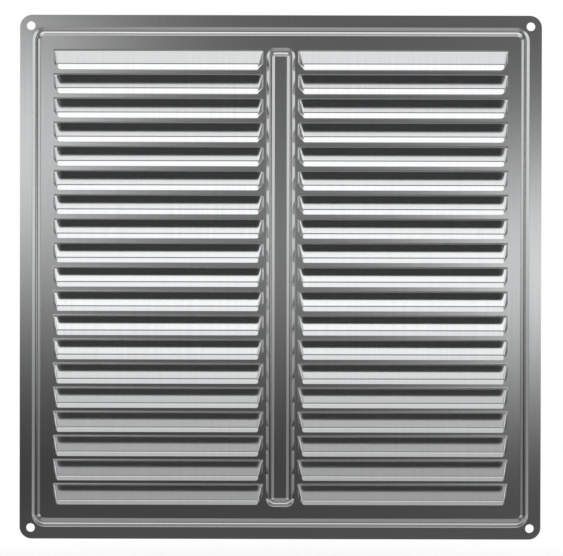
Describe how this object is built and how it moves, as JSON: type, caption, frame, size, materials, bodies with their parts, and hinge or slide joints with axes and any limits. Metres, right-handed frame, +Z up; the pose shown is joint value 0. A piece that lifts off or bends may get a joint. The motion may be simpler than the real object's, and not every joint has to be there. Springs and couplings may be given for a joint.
{
  "type": "hooded vent grille",
  "caption": "Square pressed stainless steel wall vent with columns of downward-facing louvre hoods, a raised rim bead, a raised middle loop and corner screw holes.",
  "frame": {"origin": "middle of the four screw holes, on the back of the sheet, which lies against the wall", "axes": "+Z up the wall, +X to the right seen from the front, +Y into the wall, so the hoods face -Y and open downwards"},
  "size_m": [0.3, 0.0067, 0.3014],
  "materials": {
    "steel": "brushed stainless steel, vertical grain"
  },
  "bodies": {
    "root": {"louvre_plate": "steel"}
  },
  "joints": []
}
